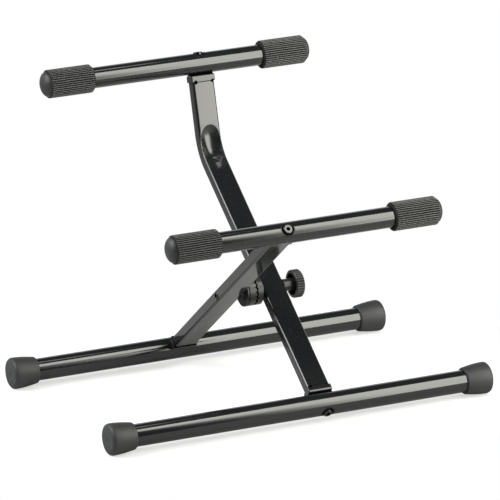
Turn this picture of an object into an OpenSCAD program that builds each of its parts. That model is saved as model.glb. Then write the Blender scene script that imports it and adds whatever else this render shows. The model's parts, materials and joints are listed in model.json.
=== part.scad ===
// Folding amp stand: two crossing frames of steel tube on a toothed pivot.
// +X runs along the bars, +Y points to the back, +Z up. The origin is on the
// floor, below the middle of the stand. Sizes are millimetres and degrees.

/* [Long frame] */
// Slope of the long arm's lower run, from the floor
long_slope = 37.4; // [34:0.1:41]
// Front foot bar axis to the corner of the bend, along the lower run
long_run = 358.7; // [345:0.1:375]
// Angle of the bend
bend_angle = 38.7; // [30:0.1:45]
// Centreline radius of the bend
bend_r = 60; // [50:1:75]
// Corner of the bend to the rear rest bar axis, along the upper run
long_top = 99.5; // [90:0.5:115]
// Depth of the crush on the inside of the bend
crush_depth = 2.7; // [1:0.1:3.4]
// Radius of the former that crushes the bend, along the arm
crush_r = 42; // [36:1:48]
// Radius of the former across the arm
crush_across_r = 23.5; // [20:0.5:30]
// Middle of the long arm, from the middle of the bars
long_x = 29; // [27:0.5:33]

/* [Short frame] */
// Distance between the axes of the two foot bars
foot_spread = 265; // [255:0.5:275]
// Slope of the short arm, from the floor
short_slope = 36.2; // [33:0.1:39]
// Rear foot bar axis to front rest bar axis
short_len = 352; // [340:0.5:360]
// Middle of the short arm, from the middle of the bars
short_x = -24.5; // [-30:0.5:-20]

/* [Arm tube] */
// Width of the arm tube, along the bars
arm_w = 27; // [24:0.5:30]
// Thickness of the arm tube
arm_t = 13; // [12:0.5:15]
// Wall of the arm tube
arm_wall = 1.5; // [1:0.1:2]
// Outer corner radius of the arm tube
arm_corner = 2.6; // [1.8:0.1:3.5]

/* [Bars] */
// Outer diameter of the foot bars
foot_bar_d = 25; // [22:0.5:28]
// Length of a foot bar's tube
foot_bar_len = 454; // [400:1:500]
// Outer diameter of the rest bars
rest_bar_d = 23.5; // [21:0.5:26]
// Length of a rest bar's tube
rest_bar_len = 314; // [280:1:360]
// Wall of all bars
bar_wall = 1.5; // [1.2:0.1:2]

/* [Foot caps] */
// Diameter at the flared outer end
cap_d = 35.5; // [33:0.5:40]
// Diameter at the mouth
cap_mouth_d = 30.4; // [29.8:0.1:31]
// Length over all
cap_len = 31; // [26:0.5:40]
// Thickness of the outer end
cap_end = 4; // [3:0.5:6]
// Radius of the outer edge
cap_edge_r = 4.5; // [3:0.1:5]
// Radius of the mouth's edge
cap_lip_r = 2; // [1:0.1:2.2]

/* [Rest grips] */
// Diameter over the ribs
grip_d = 32; // [30:0.5:34]
// Length of the ribbed sleeve
grip_len = 53; // [40:1:65]
// Number of ribs
grip_ribs = 40; // [28:1:44]
// Height of a rib
rib_h = 1.3; // [0.7:0.1:1.5]
// Depth of the domed end
dome_len = 7.5; // [6:0.5:10]

/* [Saddles] */
// Length of the block seen between bar and arm
saddle_len = 9; // [7:0.5:12]
// How far the block stands proud of the arm
saddle_proud = 0.9; // [0.4:0.1:1.5]
// Height and inset of the neck that meets the bar
saddle_neck = 1.2; // [0.8:0.1:1.6]
// Radius of the block's edges next to the bar
saddle_lip_r = 4; // [1.5:0.25:4.5]
// Diameter of the larger staking mark on the seam
stake_d = 4.6; // [3:0.2:5]
// Diameter of the smaller one
stake_small_d = 3.4; // [2.4:0.2:4]
// Depth of the staking marks, from the block's face
stake_depth = 1.8; // [1.1:0.1:2.1]
// Length of the spigot inside the arm
spigot_len = 16; // [12:1:24]

/* [Bar screws] */
// Shank diameter
screw_d = 6; // [5:0.5:6]
// Head diameter
screw_head_d = 10; // [9:0.1:11]
// Head height
screw_head_h = 3.2; // [2.8:0.1:3.6]
// Rise of the head's crown above its rim
screw_crown = 0.9; // [0.5:0.1:1.2]
// Hex socket across flats
screw_hex = 4; // [3:0.5:5]
// Flat diameter of the pressed seat in the bar
seat_d = 12; // [11.5:0.1:12.5]
// Depth of the pressed seat
seat_depth = 1.6; // [1.2:0.1:1.8]
// How far the seat's wall flares out
seat_flare = 1.8; // [1:0.1:2]

/* [Clutch] */
// Diameter of the toothed discs
disc_d = 33.4; // [30:0.2:38]
// Thickness of the long arm's disc, over the teeth
disc_t = 7; // [6:0.5:8]
// Number of teeth
tooth_count = 20; // [16:1:24]
// Depth of a tooth at the rim
tooth_h = 1.8; // [1.4:0.1:2]
// Clearance between the tooth crests with the clutch released
crest_gap = 0.4; // [0.3:0.05:0.8]
// Neck between a disc and its arm
neck_d = 20; // [18:0.5:24]
// Length of the long arm's neck
neck_len = 3.6; // [3:0.2:5]
// Thickness of the short arm's disc with its flange, over the teeth
short_disc_t = 11.4; // [9:0.2:12]
// Thickness of the flange behind the short arm's disc
flange_t = 1.5; // [1:0.1:2]
// Wire diameter of the release spring
wire_d = 1.4; // [1:0.1:1.5]

/* [Pivot] */
// Diameter of the pivot bolt
bolt_d = 8; // [7:0.5:8]
// Radial running clearance on the bolt
running = 0.05; // [0.02:0.01:0.09]
// Outer diameter of the bushes inside the arms
bush_d = 9.8; // [9.6:0.1:9.8]
// Head diameter of the pivot bolt
bolt_head_d = 10.6; // [10:0.1:11]
// Head height of the pivot bolt
bolt_head_h = 3.4; // [2.8:0.1:4]
// How far the head stands out of the short arm
bolt_head_proud = 0.8; // [0.2:0.1:1.2]
// Hex socket of the pivot bolt, across flats
bolt_hex = 5; // [4:0.5:6]

/* [Knob] */
// Diameter over the flutes
knob_d = 31.5; // [28:0.5:36]
// Thickness of the fluted rim
knob_t = 10; // [8:0.5:13]
// Number of flutes
knob_flutes = 30; // [20:1:32]
// Depth of a flute
flute_depth = 0.8; // [0.4:0.1:1]
// Diameter of the steel hub
hub_d = 14; // [12.5:0.5:15]
// Hub length from the long arm to the rim
hub_reach = 11.5; // [10:0.5:16]

/* [Hidden] */
$fn = 64;
fit = 0.05;                      // clearance of parts pressed on each other
EPS = 0.01;
foot_r = foot_bar_d / 2;
rest_r = rest_bar_d / 2;
cap_r = cap_d / 2;
grip_r = grip_d / 2;

// Side view, from the front foot bar's axis: [back, up]
function along(angle, length) = length * [cos(angle), sin(angle)];
bend_tangent = bend_r * tan(bend_angle / 2);
bend_corner = along(long_slope, long_run);
rear_rest = bend_corner + along(long_slope + bend_angle, long_top);
rear_foot = [foot_spread, 0];
front_rest = rear_foot + along(180 - short_slope, short_len);
// The arms' centrelines cross at the pivot
pivot_run = foot_spread * sin(short_slope) / sin(long_slope + short_slope);
pivot_run_short = foot_spread * sin(long_slope) / sin(long_slope + short_slope);
pivot = along(long_slope, pivot_run);

// The box of the stand sets the origin
y_low = min(front_rest[0] - grip_r, -cap_r);
y_high = max(rear_rest[0] + grip_r, rear_foot[0] + cap_r);
shift = [0, -(y_low + y_high) / 2, cap_r];

// Arms: each starts and ends on its saddle
foot_gap = foot_r + saddle_len;
rest_gap = rest_r + saddle_len;
inner_w = arm_w - 2 * arm_wall;
inner_t = arm_t - 2 * arm_wall;
long_left = long_x - arm_w / 2;
long_right = long_x + arm_w / 2;
short_left = short_x - arm_w / 2;
short_right = short_x + arm_w / 2;

// The bolt's head goes through the short arm's left wall onto the bush
head_left = short_left - bolt_head_proud;
head_seat = head_left + bolt_head_h;

// Clutch, from the long arm to the short arm
long_disc_back = long_left - neck_len;
long_crest = long_disc_back - disc_t;
short_crest = long_crest - crest_gap;
short_disc_back = short_crest - short_disc_t;
clutch_travel = crest_gap + tooth_h;
groove_t = 1.4;                  // groove between the short disc and its flange
groove_depth = 1.2;
spring_pocket_r = 8;
pocket_depth = 4;
spring_turns = 3.5;
spring_r = spring_pocket_r - wire_d / 2 - 0.3;
disc_bore_r = bolt_d / 2 + running;

// Knob
rim_back = long_right + hub_reach;
rim_front = rim_back + knob_t;
knob_wall = 2.6;
web_t = 3.5;
knob_edge = 1.4;
hub_start = long_right + 0.1;
hub_tip = rim_front - 2;
bolt_tip = hub_tip - clutch_travel - 0.5;

STEEL = [0.07, 0.075, 0.08];
MOULDED = [0.05, 0.05, 0.055];
RUBBER = [0.06, 0.06, 0.06];
BLACKED = [0.1, 0.1, 0.1];
ZINC = [0.62, 0.62, 0.6];

// ---------- places ----------

// Puts its children, drawn in the side view, at a point [back, up]
module at(point) {
    translate([0, point[0], point[1]] + shift) children();
}

// Local +Z runs up the long arm from the front foot bar, local -Y faces up
module along_long_arm() {
    at([0, 0]) rotate([long_slope - 90, 0, 0]) children();
}

// The centre of the bend: where the bend starts, the tube's centreline lies
// bend_r away along local +Y, and local +Z runs up the arm
module at_bend_centre() {
    along_long_arm() translate([0, -bend_r, long_run - bend_tangent]) children();
}

// Local +Z points down the upper run, from the rear rest bar
module down_upper_run() {
    at(rear_rest) rotate([long_slope + bend_angle + 90, 0, 0]) children();
}

// Local +Z runs up the short arm from the rear foot bar
module along_short_arm() {
    at(rear_foot) rotate([90 - short_slope, 0, 0]) children();
}

// Local +Z points down the short arm, from the front rest bar
module down_short_arm() {
    at(front_rest) rotate([-90 - short_slope, 0, 0]) children();
}

// Local +Z along the pivot axis, towards +X
module on_pivot(x) {
    at(pivot) translate([x, 0, 0]) rotate([0, 90, 0]) children();
}

// ---------- shapes ----------

// Rectangle with round corners, centred
module round_rect(w, t, r) {
    square([w - 2 * r, t], center = true);
    square([w, t - 2 * r], center = true);
    for (x = [-1, 1], y = [-1, 1])
        translate([x * (w / 2 - r), y * (t / 2 - r)]) circle(r);
}

// Points of an arc from angle a to angle b
function arc(centre, r, a, b, steps) =
    [for (i = [0:steps]) centre + r * [cos(a + (b - a) * i / steps),
                                       sin(a + (b - a) * i / steps)]];

// The bent tube's full section, swept from start to the end of the upper run
module bent_run(w, t, r, start, end) {
    lower = long_run - bend_tangent - start;
    join = 0.5;
    at_bend_centre() {
        translate([0, bend_r, -lower]) linear_extrude(lower)
            round_rect(w, t, r);
        rotate([90, 0, 90]) rotate_extrude(angle = bend_angle)
            translate([bend_r, 0]) rotate(90) round_rect(w, t, r);
        // A hair larger, so that no face lies on one of the bend's
        rotate([bend_angle, 0, 0]) translate([0, bend_r, -join])
            linear_extrude(end + join)
                round_rect(w + 2 * EPS, t + 2 * EPS, r + EPS);
    }
}

// The former that crushes the inside of the bend: a barrel that lies along X
module crush_former(grow = 0) {
    across = crush_across_r + grow;
    axis_at = bend_r - arm_t / 2 + crush_depth - crush_r;
    at_bend_centre() rotate([bend_angle / 2, 0, 0])
        translate([long_x, axis_at, 0]) rotate([0, 90, 0])
            rotate_extrude($fn = 128) intersection() {
                translate([crush_r - crush_across_r, 0]) circle(across, $fn = 128);
                translate([0, -across]) square([crush_r + grow, 2 * across]);
            }
}

// Holes for a bush through both sides of an arm tube
module bush_hole(x) {
    on_pivot(x - arm_w) cylinder(r = bush_d / 2 + fit, h = 2 * arm_w);
}

// Round bar along X with a pressed seat and a screw hole. Local +Z points
// to the arm, and the middle of the arm is at x.
module bar(r, length, x) {
    seat_r = seat_d / 2;
    seat_top_r = seat_r + seat_flare;
    difference() {
        rotate([0, 90, 0]) cylinder(r = r, h = length, center = true);
        translate([x, 0, -r - 1])
            cylinder(r1 = seat_top_r, r2 = seat_r, h = 1 + seat_depth);
        difference() {
            rotate([0, 90, 0])
                cylinder(r = r - bar_wall, h = length + 2, center = true);
            translate([x, 0, -r])
                cylinder(r = seat_top_r + 0.4, h = seat_depth + bar_wall);
        }
        translate([x, 0, -r - 1])
            cylinder(r = screw_d / 2 + 0.2, h = 2 * r + 2);
    }
}

// Marks that stake the arm onto its saddle, on the seam of both wide faces
module staking_marks(r, x) {
    marks = [[stake_d / 2 + 1.4 - arm_w / 2, stake_d],
             [arm_w / 2 - stake_small_d / 2 + 0.2, stake_small_d]];
    for (mark = marks, face = [-1, 1])
        translate([x + mark[0], face * (arm_t / 2 + saddle_proud), r + saddle_len])
            rotate([90, 0, 0])
                cylinder(d = mark[1], h = 2 * stake_depth, center = true);
}

// Saddle block between a bar of radius r and an arm. Local +Z runs from the
// bar's axis into the arm.
module saddle(r, x) {
    block_w = arm_w + 2 * saddle_proud;
    block_t = arm_t + 2 * saddle_proud;
    block_start = r + saddle_neck;
    top = r + saddle_len;
    block_len = top - block_start - saddle_proud;
    lip_r = min(saddle_lip_r, block_len - 0.2);
    neck_t = block_t - lip_r;
    start = sqrt(pow(r, 2) - pow(neck_t / 2, 2)) - 0.8;
    difference() {
        translate([x, 0, 0]) union() {
            translate([0, 0, start]) linear_extrude(block_start - start + lip_r)
                round_rect(arm_w - saddle_neck, neck_t, arm_corner - saddle_neck / 2);
            intersection() {
                translate([0, 0, block_start]) linear_extrude(block_len)
                    round_rect(block_w, block_t, arm_corner + saddle_proud);
                translate([0, 0, block_start + block_len]) rotate([90, 0, 90])
                    linear_extrude(block_w + 2, center = true)
                        round_rect(block_t, 2 * block_len, lip_r);
            }
            translate([0, 0, top - saddle_proud])
                linear_extrude(saddle_proud)
                    round_rect(arm_w + saddle_proud, arm_t + saddle_proud,
                               arm_corner + saddle_proud / 2);
            translate([0, 0, top - EPS]) linear_extrude(spigot_len)
                round_rect(inner_w - 2 * fit, inner_t - 2 * fit,
                           arm_corner - arm_wall);
        }
        translate([x, 0, 0]) {
            rotate([0, 90, 0]) cylinder(r = r + fit, h = 2 * arm_w, center = true);
            cylinder(r = screw_d / 2 + 0.2, h = top + spigot_len + 1);
            translate([0, 0, top + 2])
                cylinder(r = insert_r + fit, h = spigot_len);
        }
        staking_marks(r, x);
    }
}
insert_r = 4.3;
insert_len = spigot_len - 3;

// Threaded insert in a saddle's spigot
module insert(r, x) {
    translate([x, 0, r + saddle_len + 2]) difference() {
        cylinder(r = insert_r, h = insert_len);
        translate([0, 0, -1]) cylinder(r = screw_d / 2 + fit, h = insert_len + 2);
    }
}

// Button-head screw, its head seated in the bar's pressed seat
module bar_screw(r, x) {
    seat = -r + seat_depth;
    socket_depth = 2.3;
    tip = r + saddle_len + 2 + insert_len - 1;
    head_r = screw_head_d / 2;
    rim_h = screw_head_h - screw_crown;
    edge_r = 0.5;
    crown_r = head_r - edge_r;
    dome_r = (pow(crown_r, 2) + pow(screw_crown, 2)) / (2 * screw_crown);
    translate([x, 0, seat]) difference() {
        union() {
            translate([0, 0, -EPS]) cylinder(r = screw_d / 2, h = tip - seat);
            mirror([0, 0, 1]) rotate_extrude() polygon(concat(
                [[0, 0], [head_r - 0.3, 0], [head_r, 0.3]],
                arc([crown_r, rim_h - edge_r], edge_r, 0, 60, 3),
                [for (i = [1:6]) let (q = crown_r * (6 - i) / 6)
                    [q, screw_head_h - dome_r + sqrt(pow(dome_r, 2) - q * q)]]));
        }
        mirror([0, 0, 1]) translate([0, 0, screw_head_h - socket_depth])
            cylinder(d = screw_hex / cos(30), h = socket_depth + 1, $fn = 6);
    }
}

// Rubber cap, wider to its outer end. Local +Z runs from the mouth to the outer end.
module foot_cap() {
    mouth_r = cap_mouth_d / 2;
    widest = cap_len - cap_edge_r;
    mark_r = 2.2;
    mark_depth = 0.5;
    difference() {
        rotate_extrude($fn = 96) polygon(concat(
            [[0, 0]],
            arc([mouth_r - cap_lip_r, cap_lip_r], cap_lip_r, -90, 0, 5),
            [for (i = [1:10]) let (t = i / 10)
                [mouth_r + (cap_r - mouth_r) * sin(90 * t),
                 cap_lip_r + (widest - cap_lip_r) * t]],
            arc([cap_r - cap_edge_r, widest], cap_edge_r, 12, 90, 6),
            [[mark_r, cap_len], [mark_r - 0.3, cap_len - mark_depth],
             [0, cap_len - mark_depth]]));
        translate([0, 0, -1])
            cylinder(r = foot_r + fit, h = cap_len - cap_end + 1);
    }
}

// Ribbed rubber grip. Local +Z runs from the mouth to the domed end.
module rest_grip() {
    valley_r = grip_r - rib_h;
    step = 360 / grip_ribs;
    chamfer = 1.8;
    dome_r = valley_r - 0.4;
    difference() {
        union() {
            intersection() {
                linear_extrude(grip_len) polygon([
                    for (i = [0:grip_ribs - 1], p = [[valley_r, -0.3],
                        [grip_r - 0.25, -0.18], [grip_r, -0.06],
                        [grip_r, 0.06], [grip_r - 0.25, 0.18], [valley_r, 0.3]])
                        p[0] * [cos((i + p[1]) * step), sin((i + p[1]) * step)]]);
                rotate_extrude() polygon([[0, 0], [grip_r - chamfer, 0],
                    [grip_r + 0.2, chamfer + 0.2],
                    [grip_r + 0.2, grip_len - 0.6],
                    [grip_r - rib_h - 0.4, grip_len + 0.4], [0, grip_len + 0.4]]);
            }
            rotate_extrude() polygon(concat([[0, grip_len - 1]],
                [for (i = [0:10]) let (a = 90 * i / 10)
                    [dome_r * cos(a), grip_len - 0.2
                     + (dome_len + 0.2) * sin(a)]]));
        }
        translate([0, 0, -1]) cylinder(r = rest_r + fit, h = grip_len + 1);
    }
}

// Ring of V notches that leaves face teeth. Local +Z points out of the
// face, whose tooth crests lie at z = 0.
module tooth_notches(turn) {
    pitch = PI * disc_d / tooth_count;
    for (i = [0:tooth_count - 1])
        rotate(turn + i * 360 / tooth_count) rotate([90, 0, 90])
            linear_extrude(disc_d)
                polygon([[-pitch / 2, 0], [0, -tooth_h], [pitch / 2, 0],
                         [pitch / 2, 1], [-pitch / 2, 1]]);
}

// ---------- pieces of the long frame ----------

module long_arm() {
    lower_end = long_top - bend_tangent - rest_gap;
    color(STEEL) difference() {
        translate([long_x, 0, 0])
            bent_run(arm_w, arm_t, arm_corner, foot_gap, lower_end);
        crush_former();
        difference() {
            translate([long_x, 0, 0])
                bent_run(inner_w, inner_t, arm_corner - arm_wall,
                         foot_gap - 1, lower_end + 1);
            crush_former(arm_wall);
        }
        bush_hole(long_x);
        along_long_arm() staking_marks(foot_r, long_x);
        down_upper_run() staking_marks(rest_r, long_x);
    }
}

module long_arm_foot_saddle() {
    color(MOULDED) along_long_arm() saddle(foot_r, long_x);
}

module long_arm_top_saddle() {
    color(MOULDED) down_upper_run() saddle(rest_r, long_x);
}

module front_foot_bar() {
    color(STEEL) along_long_arm() bar(foot_r, foot_bar_len, long_x);
}

module rear_rest_bar() {
    color(STEEL) down_upper_run() bar(rest_r, rest_bar_len, long_x);
}

// A cap or grip on the end of a bar, on side -1 (left) or 1 (right)
module on_bar_end(point, length, covered, side) {
    at(point) translate([side * (length / 2 - covered), 0, 0])
        rotate([0, side * 90, 0]) children();
}

module front_foot_cap(side) {
    color(RUBBER) on_bar_end([0, 0], foot_bar_len, cap_len - cap_end, side)
        foot_cap();
}

module rear_foot_cap(side) {
    color(RUBBER) on_bar_end(rear_foot, foot_bar_len, cap_len - cap_end, side)
        foot_cap();
}

module rear_rest_grip(side) {
    color(RUBBER) on_bar_end(rear_rest, rest_bar_len, grip_len, side)
        rest_grip();
}

module front_rest_grip(side) {
    color(RUBBER) on_bar_end(front_rest, rest_bar_len, grip_len, side)
        rest_grip();
}

module long_frame_screws() {
    color(BLACKED) along_long_arm() bar_screw(foot_r, long_x);
    color(BLACKED) down_upper_run() bar_screw(rest_r, long_x);
}

module long_frame_inserts() {
    color(ZINC) along_long_arm() insert(foot_r, long_x);
    color(ZINC) down_upper_run() insert(rest_r, long_x);
}

module bush(left, right) {
    color(ZINC) on_pivot(left) difference() {
        cylinder(r = bush_d / 2, h = right - left);
        translate([0, 0, -1])
            cylinder(r = bolt_d / 2 + running, h = right - left + 2);
    }
}

// Toothed disc on its neck; the teeth point to -X
module long_arm_disc() {
    color(BLACKED) on_pivot(long_crest) difference() {
        union() {
            cylinder(r = disc_d / 2, h = disc_t);
            cylinder(r = neck_d / 2, h = disc_t + neck_len);
        }
        mirror([0, 0, 1]) tooth_notches(0);
        translate([0, 0, -1]) cylinder(r = spring_pocket_r, h = pocket_depth + 1);
        translate([0, 0, -1]) cylinder(r = disc_bore_r, h = disc_t + neck_len + 2);
    }
}

// Toothed disc with its flange and neck; the teeth point to +X
module short_arm_disc() {
    body = short_disc_t;
    neck = short_disc_back - short_right;
    color(BLACKED) on_pivot(short_crest) mirror([0, 0, 1]) difference() {
        union() {
            cylinder(r = disc_d / 2, h = body);
            cylinder(r = neck_d / 2, h = body + neck);
        }
        mirror([0, 0, 1]) tooth_notches(180 / tooth_count);
        translate([0, 0, body - flange_t - groove_t]) difference() {
            cylinder(r = disc_d, h = groove_t);
            translate([0, 0, -1])
                cylinder(r = disc_d / 2 - groove_depth, h = groove_t + 2);
        }
        translate([0, 0, -1]) cylinder(r = spring_pocket_r, h = pocket_depth + 1);
        translate([0, 0, -1]) cylinder(r = disc_bore_r, h = body + neck + 2);
    }
}

// ---------- pieces of the short frame ----------

module short_arm() {
    length = short_len - foot_gap - rest_gap;
    head_gap = 0.15;
    color(STEEL) difference() {
        along_short_arm() translate([short_x, 0, foot_gap])
            linear_extrude(length) difference() {
                round_rect(arm_w, arm_t, arm_corner);
                round_rect(inner_w, inner_t, arm_corner - arm_wall);
            }
        bush_hole(short_x);
        along_short_arm() staking_marks(foot_r, short_x);
        down_short_arm() staking_marks(rest_r, short_x);
        on_pivot(short_left - 1)
            cylinder(r = bolt_head_d / 2 + head_gap, h = head_seat - short_left + 1);
    }
}

module short_arm_foot_saddle() {
    color(MOULDED) along_short_arm() saddle(foot_r, short_x);
}

module short_arm_top_saddle() {
    color(MOULDED) down_short_arm() saddle(rest_r, short_x);
}

module rear_foot_bar() {
    color(STEEL) along_short_arm() bar(foot_r, foot_bar_len, short_x);
}

module front_rest_bar() {
    color(STEEL) down_short_arm() bar(rest_r, rest_bar_len, short_x);
}

module short_frame_screws() {
    color(BLACKED) along_short_arm() bar_screw(foot_r, short_x);
    color(BLACKED) down_short_arm() bar_screw(rest_r, short_x);
}

module short_frame_inserts() {
    color(ZINC) along_short_arm() insert(foot_r, short_x);
    color(ZINC) down_short_arm() insert(rest_r, short_x);
}

// ---------- pivot ----------

// Bolt from the short arm's left side into the knob's hub
module pivot_bolt() {
    head_r = bolt_head_d / 2;
    color(BLACKED) on_pivot(head_left) difference() {
        union() {
            rotate_extrude() polygon([[0, 0], [head_r - 1.4, 0],
                [head_r - 0.4, 0.3], [head_r, 0.8],
                [head_r, bolt_head_h], [0, bolt_head_h]]);
            cylinder(r = bolt_d / 2, h = bolt_tip - head_left);
        }
        translate([0, 0, -1])
            cylinder(d = bolt_hex / cos(30), h = 1 + bolt_hex / 2, $fn = 6);
    }
}

// Fluted rim with a hollow back and a closed, slightly dished front
module knob() {
    r = knob_d / 2;
    step = 360 / knob_flutes;
    color(MOULDED) on_pivot(rim_back) difference() {
        intersection() {
            linear_extrude(knob_t) polygon([
                for (i = [0:knob_flutes - 1], p = [[r - flute_depth, -0.5],
                    [r - 0.35, -0.34], [r, -0.14], [r, 0.14],
                    [r - 0.35, 0.34]])
                    p[0] * [cos((i + p[1]) * step), sin((i + p[1]) * step)]]);
            rotate_extrude() polygon([[0, 0], [r - 0.8, 0], [r + 0.1, 0.9],
                [r + 0.1, knob_t - knob_edge], [r - knob_edge, knob_t],
                [0, knob_t]]);
        }
        translate([0, 0, -1])
            cylinder(r = r - flute_depth - knob_wall, h = knob_t - web_t + 1);
        translate([0, 0, -1]) cylinder(r = hub_d / 2 + fit, h = knob_t - 0.9);
        translate([0, 0, knob_t - 0.7]) cylinder(r = r - 4.5, h = 1);
    }
}

module knob_hub() {
    length = hub_tip - hub_start;
    color(BLACKED) on_pivot(hub_start) difference() {
        cylinder(r = hub_d / 2, h = length);
        translate([0, 0, -1])
            cylinder(r = bolt_d / 2 + running, h = length + 2);
    }
}

// Release spring round the bolt, its ends in the two discs' pockets
module release_spring() {
    left = short_crest - pocket_depth;
    right = long_crest + pocket_depth;
    length = right - left - wire_d - 2 * fit;
    sides = 8;
    rings_per_turn = 20;
    rings = ceil(spring_turns * rings_per_turn);
    ring = function (i)
        let (turn = 360 * i / rings_per_turn, z = length * i / rings)
            [for (s = [0:sides - 1]) let (a = 360 * s / sides,
                r = spring_r + wire_d / 2 * cos(a))
                [r * cos(turn), r * sin(turn), z + wire_d / 2 * sin(a)]];
    points = [for (i = [0:rings]) each ring(i)];
    walls = [for (i = [0:rings - 1], s = [0:sides - 1])
        let (a = i * sides + s, b = i * sides + (s + 1) % sides)
            each [[a, a + sides, b], [b, a + sides, b + sides]]];
    ends = [for (s = [1:sides - 2]) each [[0, s, s + 1],
        [rings * sides, rings * sides + s + 1, rings * sides + s]]];
    color(ZINC) on_pivot(left + wire_d / 2 + fit)
        polyhedron(points = points, faces = concat(walls, ends));
}

long_arm();
long_arm_foot_saddle();
long_arm_top_saddle();
front_foot_bar();
front_foot_cap(-1);  // front_foot_cap_left
front_foot_cap(1);  // front_foot_cap_right
rear_rest_bar();
rear_rest_grip(-1);  // rear_rest_grip_left
rear_rest_grip(1);  // rear_rest_grip_right
long_frame_screws();
long_frame_inserts();
long_arm_disc();
bush(long_left, long_right);  // long_arm_bush
short_arm();
short_arm_foot_saddle();
short_arm_top_saddle();
rear_foot_bar();
rear_foot_cap(-1);  // rear_foot_cap_left
rear_foot_cap(1);  // rear_foot_cap_right
front_rest_bar();
front_rest_grip(-1);  // front_rest_grip_left
front_rest_grip(1);  // front_rest_grip_right
short_frame_screws();
short_frame_inserts();
short_arm_disc();
bush(head_seat, short_right);  // short_arm_bush
pivot_bolt();
knob();
knob_hub();
release_spring();
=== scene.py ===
"""Folding amp stand: finishes, modelled details, studio and camera.

Metres. +X runs along the bars, +Y to the back, +Z up, and the floor is at z = 0.
"""

import json
import math
from typing import NamedTuple

import bmesh
import bpy
from mathutils import Matrix, Vector

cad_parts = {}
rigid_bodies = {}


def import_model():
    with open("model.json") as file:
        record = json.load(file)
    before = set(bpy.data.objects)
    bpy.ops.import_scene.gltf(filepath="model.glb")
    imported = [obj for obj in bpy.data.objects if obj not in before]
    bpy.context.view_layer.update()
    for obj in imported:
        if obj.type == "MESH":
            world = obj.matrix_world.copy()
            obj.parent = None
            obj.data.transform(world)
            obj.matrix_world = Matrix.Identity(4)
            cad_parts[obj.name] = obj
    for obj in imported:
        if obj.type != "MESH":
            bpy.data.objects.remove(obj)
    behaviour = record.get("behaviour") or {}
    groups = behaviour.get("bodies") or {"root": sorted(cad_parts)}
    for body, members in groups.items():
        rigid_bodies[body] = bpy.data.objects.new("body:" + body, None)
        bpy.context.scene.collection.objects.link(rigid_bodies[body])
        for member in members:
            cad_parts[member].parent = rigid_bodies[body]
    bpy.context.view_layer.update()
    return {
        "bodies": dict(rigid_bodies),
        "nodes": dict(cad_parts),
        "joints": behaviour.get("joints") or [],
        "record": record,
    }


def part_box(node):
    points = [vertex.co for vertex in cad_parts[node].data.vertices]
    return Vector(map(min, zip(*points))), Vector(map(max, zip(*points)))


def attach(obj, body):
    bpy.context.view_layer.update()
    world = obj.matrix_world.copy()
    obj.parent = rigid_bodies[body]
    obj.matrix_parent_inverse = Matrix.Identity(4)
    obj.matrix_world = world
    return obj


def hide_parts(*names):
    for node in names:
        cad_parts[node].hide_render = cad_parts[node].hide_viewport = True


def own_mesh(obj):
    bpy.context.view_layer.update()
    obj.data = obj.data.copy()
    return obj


MM = 0.001
# Points nearer than this are one, and edges that turn by more than this are sharp
TINY = 0.005 * MM
CREASE = math.radians(35)

# Camera, from the fit to the photograph's tube edges, in degrees, metres and millimetres
VIEW_YAW = 25.12
VIEW_PITCH = 16.65
VIEW_ROLL = 1.09
AIM = Vector((0.0076, -0.0076, 0.161))
DISTANCE = 6.638
LENS = 431.9
SENSOR = 36.0

# Arms
LONG_SLOPE = math.radians(37.4)
BEND_ANGLE = math.radians(38.7)
UPPER_SLOPE = LONG_SLOPE + BEND_ANGLE
BEND_RADIUS = 60 * MM
BEND_TANGENT = BEND_RADIUS * math.tan(BEND_ANGLE / 2)
SHORT_SLOPE = math.radians(36.2)
ARM_WIDTH = 27 * MM
ARM_DEPTH = 13 * MM
ARM_CORNER = 2.6 * MM
ARM_WALL = 1.5 * MM

# Crush mark on the inside of the bend
# Each press: its middle across and along the arm, half width, half length, depth and falloff
CRUSH_PRESSES = (
    (0.2 * MM, 5 * MM, 12.6 * MM, 23.5 * MM, 4.5 * MM, "INVERSE_SQUARE"),
    (-2.5 * MM, -12 * MM, 9.5 * MM, 26 * MM, 1.5 * MM, "SMOOTH"),
)
# Strips in each half of the bend, and in the margin beside each end of it
CRUSH_STRIPS = 21
CRUSH_MARGIN = 14 * MM

# Saddles between bars and arms: a lipped block, a neck towards the bar and a spigot in the arm
SADDLE_LENGTH = 9 * MM
SADDLE_PROUD = 0.9 * MM
SADDLE_NECK = 1.0 * MM
SADDLE_LIP = 2.4 * MM
SADDLE_ROUND = 1.2 * MM
SPIGOT_EDGE = 1.5 * MM
SPIGOT_DEPTH = 9.4 * MM
SPIGOT_LENGTH = 16 * MM
INSERT_HOLE = 4.35 * MM

# How much wider a round hole is cut than what fills it
HOLE_PLAY = 0.05 * MM

# Staking marks on the seam between arm and saddle: place across the arm, diameter
STAKES = ((-9.8 * MM, 4.6 * MM), (12.0 * MM, 3.4 * MM))
STAKE_DEPTH = 0.9 * MM
# How far the tool that cuts them stands above the saddle
STAKE_ABOVE = 0.5 * MM

# Button-head screws through the bars
SCREW_HEAD = 10.4 * MM
SCREW_HEIGHT = 2.7 * MM
SCREW_EDGE = 0.9 * MM
SCREW_SHANK = 6 * MM
SCREW_LENGTH = 42 * MM
SCREW_SEAT = 1.6 * MM
SOCKET_WIDTH = 4.2 * MM
SOCKET_DEPTH = 4.5 * MM

# Ribbed grips: radius over the ribs, their height, and how softly the domed ends begin
GRIP_RADIUS = 16 * MM
RIB_HEIGHT = 1.3 * MM
DOME_EDGE = 1 * MM

# Painted shade in the finishes, in seams, necks and screw seats: how black and how dull it is
SHADE_BLACK = 0.002
SHADE_DULL = 0.9
# Painted shade in the line of the seam: its width, and how far from the middle of the arm's end it
# is full and gone
SEAM_WIDTH = 0.6 * MM
SEAM_REACH = (0.6 * ARM_WIDTH, 0.65 * ARM_WIDTH)
# Painted shade round the staking marks: place across the arm, diameter
STAKE_SHADES = ((-9.8 * MM, 4.6 * MM), (10.9 * MM, 4.2 * MM))
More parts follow.
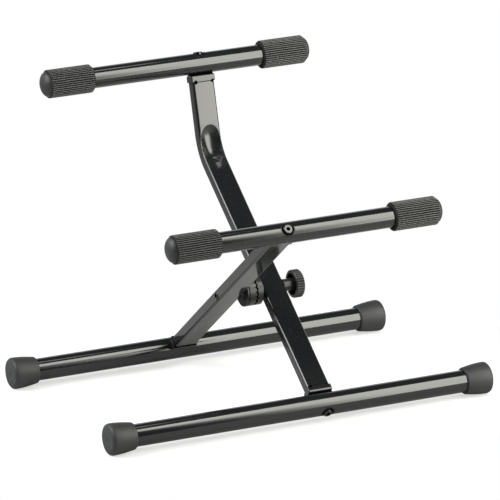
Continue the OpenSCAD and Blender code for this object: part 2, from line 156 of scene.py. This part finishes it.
# Shares of its diameter at which such a painted shade is full and gone
STAKE_SHADE_EDGE = (0.42, 0.56)
# Painted shade on the neck: where it begins and is full below the seam, and where it is full and
# gone sideways
NECK_SHADE_START = (7.5 * MM, 7.9 * MM)
NECK_SHADE_REACH = (0.8 * ARM_WIDTH, 0.9 * ARM_WIDTH)
# Painted shade in rings round the screws' heads, in their pressed seats: where it is full and gone,
# and its strength
SEAT_SHADE_REACH = (6.3 * MM, 9.2 * MM)
SEAT_SHADE_STRENGTH = 0.9
# Duller paint inside the bend: where it is full and gone
STRETCHED_REACH = (22 * MM, 32 * MM)

# World: dim, with a white sweep behind, whose edges are given in the direction's Y and Z
WORLD_DIM = 0.06
WORLD_TINT = (0.85, 1.0, 1.15, 1.0)
SWEEP_LEVEL = 0.75
SWEEP_BACK = (-0.1, 0.35)
SWEEP_TOP = (0.42, 0.6)

# Floor paper: its grey, the greys that the stand mirrors near it and behind it, and the
# places along Y between which the one turns into the other
FLOOR_SIZE = 24.0
PAPER = 0.86
PAPER_MIRRORED = 0.47
PAPER_BEHIND = 0.27
BEHIND_STAND = (0.3, 0.7)
# Its white glow: the share of it at the stand's footprint, and the distances from there
# between which it grows whole, to the camera and to what the stand mirrors
FLOOR_TINT = (1.0, 0.97, 0.86, 1.0)
FLOOR_LIFT = 0.56
FOOTPRINT = (0.2, 0.15, 0)
FLOOR_WHITE = (0.0, 0.16)
MIRRORED_WHITE = (1.2, 2.6)

# Lamps
SOFTBOX_TINT = (1.0, 0.995, 0.955)
LEFT_LAMP_AWAY = 2.0


# ---------- places on the stand ----------


class ArmEnd(NamedTuple):
    """Where an arm ends on its saddle."""

    name: str
    frame: str
    bar: Vector
    radius: float
    middle: Vector
    along: Vector
    outward: Vector


def middle(node):
    """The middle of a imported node's box."""
    low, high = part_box(node)
    return (low + high) / 2


def radius_of(node):
    """The radius of a packed bar or bush."""
    low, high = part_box(node)
    return (high.z - low.z) / 2


def arm_ends():
    """The arms' four ends, the long arm's first.

    Each has its name, its frame, the middle and radius of its bar, the middle of the
    arm's end, the way from the bar along the arm, and the way out of the arm's wide front.
    """
    foot_radius = radius_of("front_foot_bar")
    rest_radius = radius_of("rear_rest_bar")
    ends = (
        ("long", "foot", "front_foot_bar", foot_radius, LONG_SLOPE),
        ("long", "top", "rear_rest_bar", rest_radius, UPPER_SLOPE + math.pi),
        ("short", "foot", "rear_foot_bar", foot_radius, math.pi - SHORT_SLOPE),
        ("short", "top", "front_rest_bar", rest_radius, -SHORT_SLOPE),
    )
    found = []
    for arm, end, bar, radius, slope in ends:
        bar_middle = middle(bar)
        bar_middle.x = middle(arm + "_arm").x
        along = Vector((0, math.cos(slope), math.sin(slope)))
        outward = Vector((0, -along.z, along.y))
        if outward.y > 0:
            outward = -outward
        found.append(
            ArmEnd(
                name=arm + "_arm_" + end,
                frame=arm + "_frame",
                bar=bar_middle,
                radius=radius,
                middle=bar_middle + along * (radius + SADDLE_LENGTH),
                along=along,
                outward=outward,
            )
        )
    return found


def long_arm_bend():
    """The corner of the long arm's two runs, its bend's centre and the middle of its inside."""
    foot, top = arm_ends()[:2]
    run = (top.bar - foot.bar).cross(top.along).x / foot.along.cross(top.along).x
    corner = foot.bar + foot.along * run
    start = corner - foot.along * BEND_TANGENT
    centre = start + foot.outward * BEND_RADIUS
    inside = centre + (corner - centre).normalized() * (BEND_RADIUS - ARM_DEPTH / 2)
    return corner, centre, inside


# ---------- materials ----------


class Value:
    """A shader socket. Python's operators on it add Math nodes."""

    def __init__(self, paint, socket):
        self.paint = paint
        self.socket = socket

    def _math(self, operation, first, second=0.0):
        return self.paint.node("Math", {"operation": operation}, {0: first, 1: second})

    def __add__(self, other):
        return self._math("ADD", self, other)

    __radd__ = __add__

    def __mul__(self, other):
        return self._math("MULTIPLY", self, other)

    __rmul__ = __mul__

    def __sub__(self, other):
        return self._math("SUBTRACT", self, other)

    def __rsub__(self, other):
        return self._math("SUBTRACT", other, self)

    def __abs__(self):
        return self._math("ABSOLUTE", self)

    def most(self, other):
        """The larger of the two."""
        return self._math("MAXIMUM", self, other)


class Paint:
    """The nodes of one material, world or lamp."""

    def __init__(self, owner):
        owner.use_nodes = True
        self.owner = owner
        self.tree = owner.node_tree
        self.tree.nodes.clear()

    def node(self, kind, settings=None, sockets=None, output=0):
        """Adds a node: its type, its settings, and the values or links of its sockets."""
        node = self.tree.nodes.new("ShaderNode" + kind)
        for name, setting in (settings or {}).items():
            setattr(node, name, setting)
        for name, value in (sockets or {}).items():
            if isinstance(value, Value):
                self.tree.links.new(value.socket, node.inputs[name])
            else:
                node.inputs[name].default_value = value
        return Value(self, node.outputs[output]) if len(node.outputs) else None

    def place(self):
        """The place on the stand, in metres."""
        return self.node("TexCoord", output="Object")

    def axis(self, vector, name):
        """One of a vector's X, Y and Z."""
        return self.node("SeparateXYZ", sockets={"Vector": vector}, output=name)

    def vector(self, operation, first, second=(0, 0, 0)):
        """A vector from one or two vectors."""
        return self.node("VectorMath", {"operation": operation}, {0: first, 1: second})

    def measure(self, operation, first, second=(0, 0, 0)):
        """A number from one or two vectors, such as a length."""
        vectors = {0: first, 1: second}
        return self.node("VectorMath", {"operation": operation}, vectors, output="Value")

    def noise(self, size, detail, rough=0.5):
        """Noise whose features are about size metres across, from 0 to 1."""
        return self.node(
            "TexNoise",
            sockets={
                "Vector": self.place(),
                "Scale": 1.0 / size,
                "Detail": detail,
                "Roughness": rough,
            },
        )

    def smooth(self, value, low, high):
        """0 below low, 1 above high, smooth between."""
        return self.node(
            "MapRange",
            {"interpolation_type": "SMOOTHSTEP"},
            {"Value": value, "From Min": low, "From Max": high},
        )

    def mix(self, factor, first, second):
        """Blends two colours."""
        return self.node(
            "Mix",
            {"data_type": "RGBA"},
            {"Factor": factor, 6: first, 7: second},
            output=2,
        )

    def near(self, point, full, gone):
        """1 up to the distance full from a point, and 0 from the distance gone."""
        return 1.0 - self.smooth(self.measure("DISTANCE", self.place(), point), full, gone)

    def past(self, point, way):
        """How far past a point a place lies, measured along a way."""
        return self.measure("DOT_PRODUCT", self.vector("SUBTRACT", self.place(), point), way)

    def seam_shade(self):
        """1 in the painted shade of the line between each arm and its saddles and round the staking
        marks on it.
        """
        mask = 0.0
        for end in arm_ends():
            off_seam = abs(self.past(end.middle, end.along))
            line = 1.0 - self.smooth(off_seam, SEAM_WIDTH / 2, SEAM_WIDTH)
            mask = (line * self.near(end.middle, *SEAM_REACH)).most(mask)
            for across, diameter in STAKE_SHADES:
                centre = end.middle + Vector((across, 0, 0)) + end.outward * (ARM_DEPTH / 2)
                full, gone = (diameter * share for share in STAKE_SHADE_EDGE)
                mask = self.near(centre, full, gone).most(mask)
        return mask

    def screw_seat_shade(self):
        """1 on the painted shade in the pressed seats round the screws, fading out on the bars."""
        mask = 0.0
        for end in arm_ends():
            seat = end.bar - end.along * end.radius
            mask = self.near(seat, *SEAT_SHADE_REACH).most(mask)
        return mask

    def neck_shade(self):
        """1 on the painted shade of the necks between the bars and their saddles' lips."""
        mask = 0.0
        for end in arm_ends():
            below = self.past(end.middle, -end.along)
            neck = self.smooth(below, *NECK_SHADE_START)
            mask = (neck * self.near(end.middle, *NECK_SHADE_REACH)).most(mask)
        return mask

    def bump(self, height, distance):
        """Relief of this depth in metres."""
        return self.node("Bump", sockets={"Height": height, "Distance": distance})

    def finish(self, sockets):
        """Makes the surface from the Principled shader's sockets, and returns the material."""
        surface = self.node("BsdfPrincipled", sockets=sockets)
        self.node("OutputMaterial", sockets={"Surface": surface})
        return self.owner


def new_paint(name):
    """The nodes of a new material."""
    return Paint(bpy.data.materials.new(name))


def grey(level, warm=0.0):
    """A grey, a little warmer or cooler."""
    return (level * (1.0 + warm), level, level * (1.0 - warm), 1.0)


def gloss_powder_coat():
    """Gloss black powder coat on steel tube: faint orange peel and dust, duller in the bend, with
    painted shade in the seams, staking marks and screw seats.
    """
    paint = new_paint("gloss_powder_coat")
    peel = paint.noise(2.6 * MM, detail=1.0)
    haze = paint.noise(45 * MM, detail=3.0)
    dust = paint.smooth(paint.noise(0.9 * MM, detail=0.0), 0.76, 0.84)
    _, _, inside_of_bend = long_arm_bend()
    stretched = paint.near(inside_of_bend, *STRETCHED_REACH)
    # Painted shade in the seams, round the staking marks and in the screws' seats: near black, dull
    # and metallic, so that it reflects almost nothing.
    painted_shade = paint.seam_shade().most(paint.screw_seat_shade() * SEAT_SHADE_STRENGTH)
    coat = paint.mix(dust * 0.35, grey(0.007, -0.06), grey(0.06))
    rough = haze * 0.08 + 0.07 + dust * 0.2 + stretched * 0.11
    return paint.finish(
        {
            "Base Color": paint.mix(painted_shade, coat, grey(SHADE_BLACK)),
            "Metallic": painted_shade,
            "Roughness": rough.most(painted_shade * SHADE_DULL),
            "IOR": 1.52,
            "Normal": paint.bump(peel, 0.005 * MM),
        }
    )


def moulded_nylon():
    """Black nylon from a polished mould, with faint flow marks, and painted shade in its seams,
    staking marks and neck.
    """
    paint = new_paint("moulded_nylon")
    grain = paint.noise(0.8 * MM, detail=2.0)
    cloud = paint.noise(9 * MM, detail=3.0)
    # Painted shade in the seams, round the staking marks and on the necks: near black, dull and
    # metallic, so that it reflects almost nothing.
    painted_shade = paint.seam_shade().most(paint.neck_shade())
    nylon = paint.mix(cloud, grey(0.006), grey(0.011))
    return paint.finish(
        {
            "Base Color": paint.mix(painted_shade, nylon, grey(SHADE_BLACK)),
            "Metallic": painted_shade,
            "Roughness": (cloud * 0.06 + 0.11).most(painted_shade * SHADE_DULL),
            "IOR": 1.5,
            "Normal": paint.bump(grain, 0.006 * MM),
        }
    )


def moulded_rubber():
    """Matt black rubber, faintly greyed by bloom."""
    paint = new_paint("moulded_rubber")
    bloom = paint.noise(14 * MM, detail=4.0, rough=0.6)
    colour = paint.mix(bloom, grey(0.011, -0.05), grey(0.022, -0.05))
    return finish_rubber(paint, colour, bloom * 0.16 + 0.46)


def ribbed_rubber(bar):
    """The grips' rubber on one bar: painted shade between the ribs, and a painted highlight on their
    greyer, smoother tops.
    """
    paint = new_paint("ribbed_rubber_" + bar)
    low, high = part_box(bar)
    half_length = (high.x - low.x) / 2
    place = paint.vector("SUBTRACT", paint.place(), middle(bar))
    radius = paint.measure("LENGTH", paint.vector("MULTIPLY", place, (0, 1, 1)))
    # Painted shade deep between the ribs and a painted highlight on the rib tops, found by the
    # radius from the bar's axis.
    ribs = paint.smooth(radius, GRIP_RADIUS - 0.65 * RIB_HEIGHT, GRIP_RADIUS - 0.05 * MM)
    out = abs(paint.axis(place, "X"))
    dome = paint.smooth(out, half_length - DOME_EDGE, half_length + DOME_EDGE)
    lit_rib_tops = ribs * (1.0 - dome)
    sleeve = paint.mix(lit_rib_tops, grey(0.0015), grey(0.055))
    colour = paint.mix(dome, sleeve, grey(0.012, -0.05))
    return finish_rubber(paint, colour, 0.9 - lit_rib_tops * 0.55 - dome * 0.42)


def finish_rubber(paint, colour, rough):
    """Rubber of this colour and roughness, with a fine grain."""
    grain = paint.noise(0.5 * MM, detail=3.0, rough=0.6)
    return paint.finish(
        {
            "Base Color": colour,
            "Roughness": rough,
            "IOR": 1.42,
            "Normal": paint.bump(grain, 0.03 * MM),
        }
    )


def black_oxide():
    """Black oxide on the screws and the bolt, oily and faintly mottled."""
    paint = new_paint("black_oxide")
    mottle = paint.noise(1.2 * MM, detail=3.0)
    return paint.finish(
        {
            "Base Color": paint.mix(mottle, grey(0.034), grey(0.06)),
            "Metallic": 1.0,
            "Roughness": mottle * 0.12 + 0.16,
            "Normal": paint.bump(mottle, 0.008 * MM),
        }
    )


def blackened_steel():
    """Satin black coat on the clutch discs and the hub."""
    paint = new_paint("blackened_steel")
    cloud = paint.noise(3 * MM, detail=3.0)
    grit = paint.noise(0.4 * MM, detail=1.0)
    return paint.finish(
        {
            "Base Color": paint.mix(cloud, grey(0.008), grey(0.017)),
            "Roughness": cloud * 0.1 + 0.28,
            "IOR": 1.42,
            "Normal": paint.bump(grit, 0.015 * MM),
        }
    )


def bright_zinc():
    """Zinc plate on the inserts, bushes and spring."""
    paint = new_paint("bright_zinc")
    cloud = paint.noise(4 * MM, detail=3.0)
    return paint.finish(
        {
            "Base Color": paint.mix(cloud, grey(0.5, 0.02), grey(0.66, 0.03)),
            "Metallic": 1.0,
            "Roughness": cloud * 0.2 + 0.24,
        }
    )


def knob_plastic():
    """Black moulded knob, a little scuffed."""
    paint = new_paint("knob_plastic")
    grain = paint.noise(0.4 * MM, detail=2.0)
    cloud = paint.noise(5 * MM, detail=3.0)
    return paint.finish(
        {
            "Base Color": paint.mix(cloud, grey(0.004), grey(0.009)),
            "Roughness": cloud * 0.12 + 0.4,
            "IOR": 1.4,
            "Normal": paint.bump(grain, 0.02 * MM),
        }
    )


FINISHES = {
    "gloss_black_steel": gloss_powder_coat,
    "black_nylon": moulded_nylon,
    "black_rubber": moulded_rubber,
    "black_oxide_screws": black_oxide,
    "blackened_steel": blackened_steel,
    "zinc_steel": bright_zinc,
    "knob_plastic": knob_plastic,
}


def dress_nodes(frame):
    """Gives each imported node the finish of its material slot, and returns the finishes by slot."""
    finishes = {slot: make() for slot, make in FINISHES.items()}
    for part in frame["record"]["subparts"]:
        node = frame["nodes"][part["node"]]
        node.data.materials.clear()
        node.data.materials.append(finishes[part["material_slot"]])
    for side in ("front", "rear"):
        rubber = ribbed_rubber(side + "_rest_bar")
        for end in ("left", "right"):
            frame["nodes"][side + "_rest_grip_" + end].data.materials[0] = rubber
    return finishes


# ---------- modelling ----------


def make_active(piece):
    """Selects one piece alone."""
    bpy.ops.object.select_all(action="DESELECT")
    piece.select_set(True)
    bpy.context.view_layer.objects.active = piece


def pick(piece, kind, wanted):
    """In edit mode, selects the vertices, edges or faces whose middle is wanted."""
    bpy.ops.mesh.select_mode(type=kind)
    bpy.ops.mesh.select_all(action="DESELECT")
    mesh = bmesh.from_edit_mesh(piece.data)
    if kind == "VERT":
        for vertex in mesh.verts:
            vertex.select_set(wanted(vertex.co))
    elif kind == "EDGE":
        for edge in mesh.edges:
            edge.select_set(wanted((edge.verts[0].co + edge.verts[1].co) / 2))
    else:
        for face in mesh.faces:
            face.select_set(wanted(face.calc_center_median()))
    mesh.select_flush_mode()
    bmesh.update_edit_mesh(piece.data)


def begin(name, scale):
    """Names the new primitive, gives it its size and opens it in edit mode."""
    piece = bpy.context.object
    piece.name = name
    piece.data.name = name
    piece.scale = scale
    bpy.ops.object.transform_apply(location=True, rotation=True, scale=True)
    bpy.ops.object.mode_set(mode="EDIT")
    return piece


def extrude(offset):
    """In edit mode, extrudes what is selected."""
    bpy.ops.mesh.extrude_region_move(TRANSFORM_OT_translate={"value": offset})


def lay(piece, matrix):
    """Moves a piece's mesh and leaves its object at the origin."""
    make_active(piece)
    piece.matrix_world = matrix
    bpy.ops.object.transform_apply(location=True, rotation=True, scale=True)


def cut(piece, cutter):
    """Cuts one piece out of another and deletes it."""
    boolean = piece.modifiers.new("cut", "BOOLEAN")
    boolean.operation = "DIFFERENCE"
    boolean.object = cutter
    make_active(piece)
    bpy.ops.object.modifier_apply(modifier="cut")
    bpy.data.objects.remove(cutter)


def bore_across(piece, centre, radius, sides):
    """Cuts a round hole along X for what has this radius."""
    bpy.ops.mesh.primitive_cylinder_add(
        vertices=sides,
        radius=radius + HOLE_PLAY,
        depth=2 * ARM_WIDTH,
        location=centre,
        rotation=(0, math.pi / 2, 0),
    )
    cut(piece, bpy.context.object)


def close_up(piece):
    """Merges doubles, turns the faces outward and makes them smooth up to the crease angle."""
    make_active(piece)
    bpy.ops.object.mode_set(mode="EDIT")
    bpy.ops.mesh.select_all(action="SELECT")
    bpy.ops.mesh.remove_doubles(threshold=TINY)
    bpy.ops.mesh.normals_make_consistent(inside=False)
    bpy.ops.object.mode_set(mode="OBJECT")
    bpy.ops.object.shade_smooth_by_angle(angle=CREASE)
    piece.modifiers.new("flats", "WEIGHTED_NORMAL").keep_sharp = True
    bpy.ops.object.modifier_apply(modifier="flats")


def dress(piece, body, slot, finishes, node):
    """Gives a modelled piece its finish and its body, and hides the node that it stands for."""
    piece.data.materials.clear()
    piece.data.materials.append(finishes[slot])
    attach(piece, body)
    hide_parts(node)


def model_long_arm(finishes):
    """The bent tube, with its crush and staking marks, open at its ends and bored for its bush."""
    foot, top = arm_ends()[:2]
    upward = -top.along
    corner, centre, _ = long_arm_bend()
    start = corner - foot.along * BEND_TANGENT
    end = corner + upward * BEND_TANGENT

    bpy.ops.object.select_all(action="DESELECT")
    turn = (LONG_SLOPE - math.pi / 2, 0, 0)
    bpy.ops.mesh.primitive_plane_add(size=1.0, location=foot.middle, rotation=turn)
    tube = begin("long_arm_tube", (ARM_WIDTH, ARM_DEPTH, 1.0))
    bpy.ops.mesh.select_all(action="SELECT")
    bpy.ops.mesh.bevel(affect="VERTICES", offset=ARM_CORNER, segments=7)
    pick(tube, "EDGE", lambda at: (at - foot.middle).dot(foot.outward) > ARM_DEPTH / 2 - TINY)
    bpy.ops.mesh.subdivide(number_cuts=CRUSH_STRIPS)
    bpy.ops.mesh.select_all(action="SELECT")
    extrude(start - foot.middle - foot.along * CRUSH_MARGIN)
    for _ in range(CRUSH_STRIPS):
        extrude(foot.along * CRUSH_MARGIN / CRUSH_STRIPS)
    bpy.ops.mesh.spin(steps=2 * CRUSH_STRIPS, angle=BEND_ANGLE, center=centre, axis=(-1, 0, 0))
    for _ in range(CRUSH_STRIPS):
        extrude(upward * CRUSH_MARGIN / CRUSH_STRIPS)
    extrude(top.middle - end - upward * CRUSH_MARGIN)
    pick(
        tube,
        "FACE",
        lambda at: any((at - arm_end.middle).dot(arm_end.along) < TINY for arm_end in (foot, top)),
    )
    bpy.ops.mesh.delete(type="FACE")
    bpy.ops.mesh.select_all(action="SELECT")
    bpy.ops.mesh.normals_make_consistent(inside=False)
    bpy.ops.object.mode_set(mode="OBJECT")

    crush(tube)
    wall = tube.modifiers.new("wall", "SOLIDIFY")
    wall.thickness = ARM_WALL
    wall.offset = -1
    bpy.ops.object.modifier_apply(modifier="wall")
    stake(tube, foot)
    stake(tube, top)
    bore_across(tube, middle("long_arm_bush"), radius_of("long_arm_bush"), sides=64)
    close_up(tube)
    dress(tube, "long_frame", "gloss_black_steel", finishes, "long_arm")


def crush(tube):
    """Presses the oval crush into the inside of the bend, laid flat and squashed meanwhile."""
    corner, centre, inside = long_arm_bend()
    press = (corner - centre).normalized()
    laid = Matrix.Translation(inside) @ Matrix.Rotation(math.atan2(press.z, press.y), 4, "X")
    lay(tube, laid.inverted())
    bpy.ops.object.mode_set(mode="EDIT")
    strip = (BEND_RADIUS - ARM_DEPTH / 2) * BEND_ANGLE / (2 * CRUSH_STRIPS)
    # Just over half a strip, so that a press always finds a vertex to start from
    nearest = 0.6 * strip
    for across, along, half_width, half_length, depth, falloff in CRUSH_PRESSES:

        def under_press(at):
            beside = max(abs(at.x - across), abs(at.z - along))
            return beside < nearest and at.y < ARM_DEPTH / 2

        pick(tube, "VERT", under_press)
        squash(tube, half_width / half_length)
        bpy.ops.transform.translate(
            value=(0, depth, 0),
            use_proportional_edit=True,
            proportional_edit_falloff=falloff,
            proportional_size=half_width,
        )
        squash(tube, half_length / half_width)
    bpy.ops.object.mode_set(mode="OBJECT")
    lay(tube, laid)


def squash(piece, factor):
    """In edit mode, shortens or stretches a laid piece along Z and keeps what is selected."""
    mesh = bmesh.from_edit_mesh(piece.data)
    bmesh.ops.scale(mesh, vec=(1, 1, factor), verts=mesh.verts)
    bmesh.update_edit_mesh(piece.data)


def model_saddles(finishes):
    """The moulded saddles between the bars and the arms."""
    for end in arm_ends():
        saddle = model_saddle(end.name + "_saddle_block", end.radius)
        turn = math.atan2(end.along.z, end.along.y) - math.pi / 2
        lay(saddle, Matrix.Translation(end.middle) @ Matrix.Rotation(turn, 4, "X"))
        stake(saddle, end)
        close_up(saddle)
        dress(saddle, end.frame, "black_nylon", finishes, end.name + "_saddle")


def model_saddle(name, radius):
    """One saddle for a bar of this radius, its seam with the arm at z = 0 and the bar below."""
    width = ARM_WIDTH + 2 * SADDLE_PROUD
    depth = ARM_DEPTH + 2 * SADDLE_PROUD
    length = SADDLE_LENGTH - SADDLE_NECK
    into_bar = radius / 4
    bpy.ops.object.select_all(action="DESELECT")
    bpy.ops.mesh.primitive_cube_add(size=1.0, location=(0, 0, -length / 2))
    saddle = begin(name, (width, depth, length))
    pick(saddle, "EDGE", lambda at: at.z < TINY - length and abs(at.y) > depth / 2 - TINY)
    bpy.ops.mesh.bevel(affect="EDGES", offset=SADDLE_LIP, segments=7)
    pick(saddle, "EDGE", lambda at: abs(at.x) > width / 2 - TINY)
    bpy.ops.mesh.bevel(affect="EDGES", offset=SADDLE_ROUND, segments=4)
    pick(saddle, "FACE", lambda at: at.z < TINY - length)
    extrude((0, 0, -SADDLE_NECK - into_bar))
    pick(saddle, "FACE", lambda at: at.z > -TINY)
    bpy.ops.mesh.inset(thickness=SPIGOT_EDGE)
    bpy.ops.transform.resize(value=(1, SPIGOT_DEPTH / (depth - 2 * SPIGOT_EDGE), 1))
    extrude((0, 0, SPIGOT_LENGTH))
    bpy.ops.object.mode_set(mode="OBJECT")
    bore_across(saddle, (0, 0, -SADDLE_LENGTH - radius), radius, sides=128)
    right_through = 3 * (SADDLE_LENGTH + SPIGOT_LENGTH)
    bpy.ops.mesh.primitive_cylinder_add(vertices=48, radius=INSERT_HOLE, depth=right_through)
    cut(saddle, bpy.context.object)
    return saddle


def stake(piece, end):
    """Cuts the two staking marks across the seam, in the wide front of an arm or a saddle."""
    above = SADDLE_PROUD + STAKE_ABOVE
    off_middle = ARM_DEPTH / 2 + (above - STAKE_DEPTH) / 2
    for across, diameter in STAKES:
        bpy.ops.object.select_all(action="DESELECT")
        height = above + STAKE_DEPTH
        bpy.ops.mesh.primitive_cylinder_add(vertices=32, radius=diameter / 2, depth=height)
        mark = bpy.context.object
        mark.rotation_euler = end.outward.to_track_quat("Z", "Y").to_euler()
        mark.location = end.middle + Vector((across, 0, 0)) + end.outward * off_middle
        cut(piece, mark)


def model_screw():
    """A flat-faced button head with a hexagon socket, head up and seated at z = 0."""
    bpy.ops.object.select_all(action="DESELECT")
    bpy.ops.mesh.primitive_cylinder_add(vertices=64, radius=SCREW_HEAD / 2, depth=SCREW_HEIGHT)
    screw = bpy.context.object
    bpy.ops.object.mode_set(mode="EDIT")
    bpy.ops.mesh.select_all(action="SELECT")
    bpy.ops.transform.translate(value=(0, 0, SCREW_HEIGHT / 2))
    pick(screw, "EDGE", lambda at: at.z > SCREW_HEIGHT - TINY)
    bpy.ops.mesh.bevel(affect="EDGES", offset=SCREW_EDGE, segments=6)
    pick(screw, "FACE", lambda at: at.z < TINY)
    bpy.ops.mesh.inset(thickness=(SCREW_HEAD - SCREW_SHANK) / 2)
    extrude((0, 0, -SCREW_LENGTH))
    bpy.ops.object.mode_set(mode="OBJECT")
    bpy.ops.mesh.primitive_cylinder_add(
        vertices=6,
        radius=SOCKET_WIDTH / math.sqrt(3),
        depth=2 * SOCKET_DEPTH,
        location=(0, 0, SCREW_HEIGHT),
    )
    cut(screw, bpy.context.object)
    close_up(screw)
    return screw


def place_copy(piece, location, outward):
    """A copy with its own mesh, its +Z turned outward, at the origin with its place in its mesh."""
    make_active(piece)
    bpy.ops.object.duplicate()
    copy = bpy.context.object
    copy.location = location
    copy.rotation_euler = outward.to_track_quat("Z", "Y").to_euler()
    bpy.ops.object.transform_apply(location=True, rotation=True, scale=True)
    return copy


def join(pieces, name):
    """Joins pieces into one."""
    make_active(pieces[0])
    for piece in pieces:
        piece.select_set(True)
    bpy.ops.object.join()
    pieces[0].name = name
    pieces[0].data.name = name
    return pieces[0]


def model_screws(finishes):
    """Each frame's two screws, seated in the bars and pointing into its arm."""
    screw = model_screw()
    for frame in ("long_frame", "short_frame"):
        copies = []
        for end in arm_ends():
            if end.frame == frame:
                seat = end.bar - end.along * (end.radius - SCREW_SEAT)
                copies.append(place_copy(screw, seat, -end.along))
        screws = join(copies, frame + "_button_screws")
        dress(screws, frame, "black_oxide_screws", finishes, frame + "_screws")
    bpy.data.objects.remove(screw)


def model_release_spring(frame, finishes):
    """The clutch's spring inside the discs, as a smoothed copy of its node."""
    name = "coiled_release_spring"
    mesh = frame["nodes"]["release_spring"].data.copy()
    mesh.name = name
    spring = bpy.data.objects.new(name, mesh)
    bpy.context.scene.collection.objects.link(spring)
    close_up(spring)
    dress(spring, "long_frame", "zinc_steel", finishes, "release_spring")
    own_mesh(spring)


# ---------- studio ----------


def seen_rays(paint):
    """1 for camera rays, and 1 for glossy and transmission rays: all see the white background."""
    camera = paint.node("LightPath", output="Is Camera Ray")
    glossy = paint.node("LightPath", output="Is Glossy Ray")
    through = paint.node("LightPath", output="Is Transmission Ray")
    return camera, glossy.most(through)


def set_world():
    """White to the camera, and to the stand a white sweep behind and dim above and in front."""
    world = bpy.data.worlds.new("studio")
    bpy.context.scene.world = world
    paint = Paint(world)
    direction = paint.node("TexCoord", output="Generated")
    back = paint.smooth(paint.axis(direction, "Y"), *SWEEP_BACK)
    low = 1.0 - paint.smooth(paint.axis(direction, "Z"), *SWEEP_TOP)
    sweep = back * low
    camera, mirrored = seen_rays(paint)
    level = (sweep * SWEEP_LEVEL + WORLD_DIM).most(sweep * mirrored).most(camera)
    tint = paint.mix(sweep.most(camera), WORLD_TINT, grey(1.0))
    sky = paint.node("Background", sockets={"Color": tint, "Strength": level})
    paint.node("OutputWorld", sockets={"Surface": sky})


def add_floor():
    """White floor that keeps the stand's shadow and is plain white far off."""
    bpy.ops.object.select_all(action="DESELECT")
    bpy.ops.mesh.primitive_plane_add(size=FLOOR_SIZE, location=(0, 0, 0))
    floor = bpy.context.object
    floor.name = "floor"
    paint = new_paint("floor_paper")
    beyond = paint.vector("SUBTRACT", paint.vector("ABSOLUTE", paint.place()), FOOTPRINT)
    away = paint.measure("LENGTH", paint.vector("MAXIMUM", beyond, (0, 0, 0)))
    far = paint.smooth(away, *FLOOR_WHITE) * (1.0 - FLOOR_LIFT) + FLOOR_LIFT
    distant = paint.smooth(away, *MIRRORED_WHITE)
    camera, mirrored = seen_rays(paint)
    behind = paint.smooth(paint.axis(paint.place(), "Y"), *BEHIND_STAND)
    dimmed = paint.mix(behind, grey(PAPER_MIRRORED), grey(PAPER_BEHIND))
    paper = paint.node("BsdfDiffuse", sockets={"Color": paint.mix(mirrored, grey(PAPER), dimmed)})
    tint = paint.mix(camera, FLOOR_TINT, grey(1.0))
    white = paint.node("Emission", sockets={"Color": tint, "Strength": 1.0})
    glow = (far * camera).most(distant * mirrored)
    mixed = paint.node("MixShader", sockets={0: glow, 1: paper, 2: white})
    paint.node("OutputMaterial", sockets={"Surface": mixed})
    floor.data.materials.append(paint.owner)


def add_lamp(name, place, size, radiance):
    """A rectangular lamp that the camera doesn't see."""
    width, height = size
    lamp = bpy.data.lights.new(name, "AREA")
    lamp.shape = "RECTANGLE"
    lamp.size = width
    lamp.size_y = height
    lamp.energy = radiance * math.pi * width * height
    holder = bpy.data.objects.new(name, lamp)
    bpy.context.scene.collection.objects.link(holder)
    holder.matrix_world = place
    holder.visible_camera = False
    return lamp


def soften_left_side(lamp, start, full, slant):
    """Lets a lamp's left side fade out.

    It starts to glow at start and is whole at full, both as shares of its width, and
    slant is how far that edge leans to the left from bottom to top, as such a share.
    """
    paint = Paint(lamp)
    where = paint.node("NewGeometry", output="Parametric")
    across = paint.axis(where, "X") + paint.axis(where, "Y") * slant
    glow = paint.smooth(across, start, full)
    light = paint.node("Emission", sockets={"Color": (*SOFTBOX_TINT, 1.0), "Strength": glow})
    paint.node("OutputLight", sockets={"Surface": light})


def light_studio():
    """A large softbox in front, a strip above and a lamp on the left."""
    in_front = Matrix.Translation((1.25, -1.075, 1.15))
    turned_up = Matrix.Rotation(math.radians(76.6), 4, "X")
    softbox = add_lamp("front_softbox", in_front @ turned_up, size=(1.7, 2.36), radiance=9.5)
    softbox.color = SOFTBOX_TINT
    soften_left_side(softbox, start=0.02, full=0.2, slant=0.17)

    above = Matrix.Translation((0.33, 0.3, 2.3))
    strip = add_lamp("top_strip", above, size=(0.95, 0.3), radiance=5.5)
    strip.color = SOFTBOX_TINT

    towards = Vector((-0.755, 0.161, 0.634)).normalized()
    on_the_left = Matrix.Translation(AIM + towards * LEFT_LAMP_AWAY)
    facing = (-towards).to_track_quat("-Z", "Y").to_matrix().to_4x4()
    add_lamp("left_lamp", on_the_left @ facing, size=(1.5, 1.5), radiance=9.0)


def add_camera():
    """The photograph's view."""
    scene = bpy.context.scene
    camera = bpy.data.cameras.new("photo_view")
    camera.lens = LENS
    camera.sensor_width = SENSOR
    holder = bpy.data.objects.new("photo_view", camera)
    scene.collection.objects.link(holder)
    turn = (
        Matrix.Rotation(math.radians(-VIEW_YAW), 3, "Z")
        @ Matrix.Rotation(math.radians(90.0 - VIEW_PITCH), 3, "X")
        @ Matrix.Rotation(math.radians(-VIEW_ROLL), 3, "Z")
    )
    eye = AIM + turn @ Vector((0.0, 0.0, DISTANCE))
    holder.matrix_world = Matrix.Translation(eye) @ turn.to_4x4()
    scene.camera = holder


def main():
    """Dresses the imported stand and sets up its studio."""
    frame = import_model()
    add_camera()
    finishes = dress_nodes(frame)
    model_long_arm(finishes)
    model_saddles(finishes)
    model_screws(finishes)
    model_release_spring(frame, finishes)
    set_world()
    add_floor()
    light_studio()
    bpy.context.scene.view_settings.view_transform = "Standard"


main()
